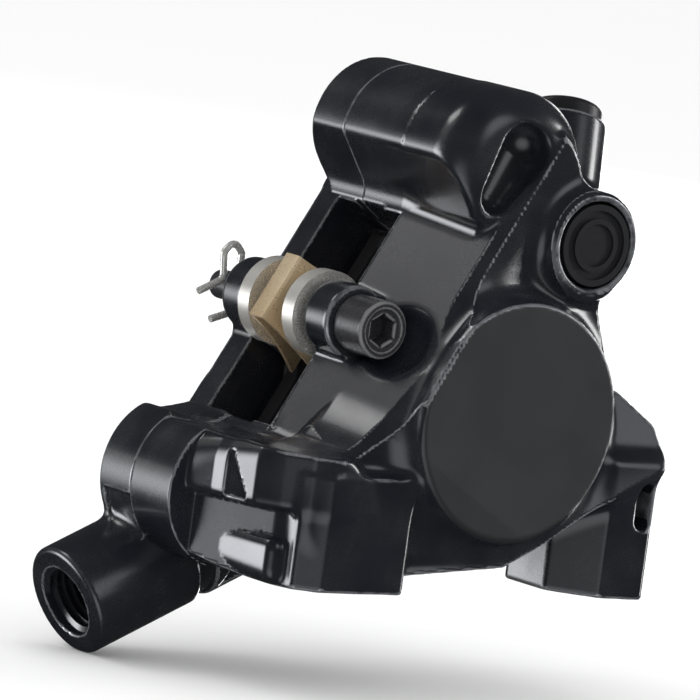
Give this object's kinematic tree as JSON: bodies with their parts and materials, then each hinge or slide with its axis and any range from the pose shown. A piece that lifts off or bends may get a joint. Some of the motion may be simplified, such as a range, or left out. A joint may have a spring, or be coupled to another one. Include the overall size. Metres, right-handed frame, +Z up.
{
  "type": "bicycle disc brake caliper",
  "caption": "Rear flat-mount hydraulic disc brake caliper for a bicycle: split body, opposed pistons, sliding pads on an axle, hose port and bleed valve.",
  "frame": {"origin": "midway between the two mount holes, on the plane that the feet stand on", "axes": "+X rearward along the stay from the hose port's end, +Y inboard towards the wheel, +Z up out of the stay"},
  "size_m": [0.0616, 0.0387, 0.0681],
  "materials": {
    "body_anodised": "satin black anodised",
    "black_steel": "black oxide",
    "bright_steel": "turned, bright",
    "pad_steel": "stamped, plated",
    "spring_brass": "sheet spring, gold toned",
    "friction_lining": "matt, granular",
    "piston_resin": "moulded, machined",
    "seal_rubber": "matt",
    "cap_rubber": "satin"
  },
  "bodies": {
    "caliper": {"outboard_body": "body_anodised", "inboard_body": "body_anodised", "body_bolts": "black_steel", "crossover_seal": "seal_rubber", "outboard_piston_seal": "seal_rubber", "inboard_piston_seal": "seal_rubber", "pad_spring": "spring_brass", "pad_axle": "black_steel", "split_pin": "bright_steel", "bleed_nipple": "bright_steel"},
    "outboard_piston": {"outboard_piston": "piston_resin"},
    "inboard_piston": {"inboard_piston": "piston_resin"},
    "outboard_pad": {"outboard_pad_plate": "pad_steel", "outboard_pad_lining": "friction_lining"},
    "inboard_pad": {"inboard_pad_plate": "pad_steel", "inboard_pad_lining": "friction_lining"},
    "bleed_valve": {"bleed_valve_screw": "bright_steel", "valve_screw_seal": "seal_rubber"},
    "valve_cap": {"valve_cap": "cap_rubber"},
    "nipple_cap": {"nipple_cap": "cap_rubber"}
  },
  "joints": [
    {"name": "outboard_piston_slide", "type": "slide", "parent": "caliper", "child": "outboard_piston", "axis": [0, 1, 0], "range_m": [0, 0.001]},
    {"name": "inboard_piston_slide", "type": "slide", "parent": "caliper", "child": "inboard_piston", "axis": [0, -1, 0], "range_m": [0, 0.001]},
    {"name": "outboard_pad_slide", "type": "slide", "parent": "caliper", "child": "outboard_pad", "axis": [0, 1, 0], "range_m": [0, 0.001], "deforming": ["pad_spring"]},
    {"name": "inboard_pad_slide", "type": "slide", "parent": "caliper", "child": "inboard_pad", "axis": [0, -1, 0], "range_m": [0, 0.001], "deforming": ["pad_spring"]},
    {"name": "bleed_valve_turn", "type": "hinge", "parent": "caliper", "child": "bleed_valve", "pos_m": [0.009, 0, 0.0397], "axis": [0, 1, 0], "range_deg": [0, 90]},
    {"name": "valve_cap_pull", "type": "slide", "parent": "caliper", "child": "valve_cap", "axis": [0, -1, 0], "range_m": [0, 0.012]},
    {"name": "nipple_cap_pull", "type": "slide", "parent": "caliper", "child": "nipple_cap", "axis": [0.257, 0.354, 0.8992], "range_m": [0, 0.015]}
  ],
  "couplings": [
    {"joint": "inboard_piston_slide", "follows": "outboard_piston_slide", "ratio": 1},
    {"joint": "outboard_pad_slide", "follows": "outboard_piston_slide", "ratio": 1},
    {"joint": "inboard_pad_slide", "follows": "outboard_piston_slide", "ratio": 1}
  ]
}
